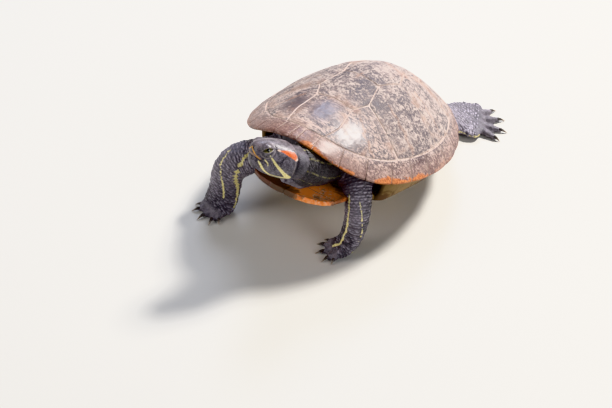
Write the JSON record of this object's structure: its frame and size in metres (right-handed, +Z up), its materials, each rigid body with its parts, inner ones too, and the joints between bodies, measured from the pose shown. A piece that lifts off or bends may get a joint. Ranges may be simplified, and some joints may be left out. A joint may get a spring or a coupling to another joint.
{
  "type": "red-eared slider turtle",
  "caption": "Life-size still model of an adult red-eared slider turtle at rest, head raised, propped on its forelegs with the hind feet spread.",
  "frame": {"origin": "on the floor, under the middle of the animal's bounding box", "axes": "+Z up, -Y the way the animal faces, +X its left side"},
  "size_m": [0.173, 0.2722, 0.1208],
  "materials": {
    "scute": "worn, semi-gloss horn, dark purplish grey-brown",
    "marginal": "worn, semi-gloss horn, with pale seams and orange-brown marks",
    "plastron": "satin horn, yellow to orange with dark blotches",
    "skin": "scaly, slate-black with yellow stripes",
    "head_skin": "fine-scaled, slate-black with yellow stripes and a red-orange ear patch",
    "eye": "wet, olive-yellow iris with a dark bar"
  },
  "bodies": {
    "root": {"nuchal": "marginal", "vertebral_1": "scute", "vertebral_2": "scute", "vertebral_3": "scute", "vertebral_4": "scute", "vertebral_5": "scute", "costal_left_1": "scute", "costal_right_1": "scute", "costal_left_2": "scute", "costal_right_2": "scute", "costal_left_3": "scute", "costal_right_3": "scute", "costal_left_4": "scute", "costal_right_4": "scute", "marginal_left_1": "marginal", "marginal_right_1": "marginal", "marginal_left_2": "marginal", "marginal_right_2": "marginal", "marginal_left_3": "marginal", "marginal_right_3": "marginal", "marginal_left_4": "marginal", "marginal_right_4": "marginal", "marginal_left_5": "marginal", "marginal_right_5": "marginal", "marginal_left_6": "marginal", "marginal_right_6": "marginal", "marginal_left_7": "marginal", "marginal_right_7": "marginal", "marginal_left_8": "marginal", "marginal_right_8": "marginal", "marginal_left_9": "marginal", "marginal_right_9": "marginal", "marginal_left_10": "marginal", "marginal_right_10": "marginal", "marginal_left_11": "marginal", "marginal_right_11": "marginal", "marginal_left_12": "marginal", "marginal_right_12": "marginal", "plastron_gular": "plastron", "plastron_humeral": "plastron", "plastron_pectoral": "plastron", "plastron_abdominal": "plastron", "plastron_femoral": "plastron", "plastron_anal": "plastron", "bridge_left": "plastron", "bridge_right": "plastron", "trunk": "skin", "head": "head_skin", "eye_left": "eye", "eye_right": "eye", "neck": "skin", "foreleg_right": "skin", "foreleg_left": "skin", "hindleg_left": "skin", "hindleg_right": "skin", "tail": "skin"}
  },
  "joints": []
}
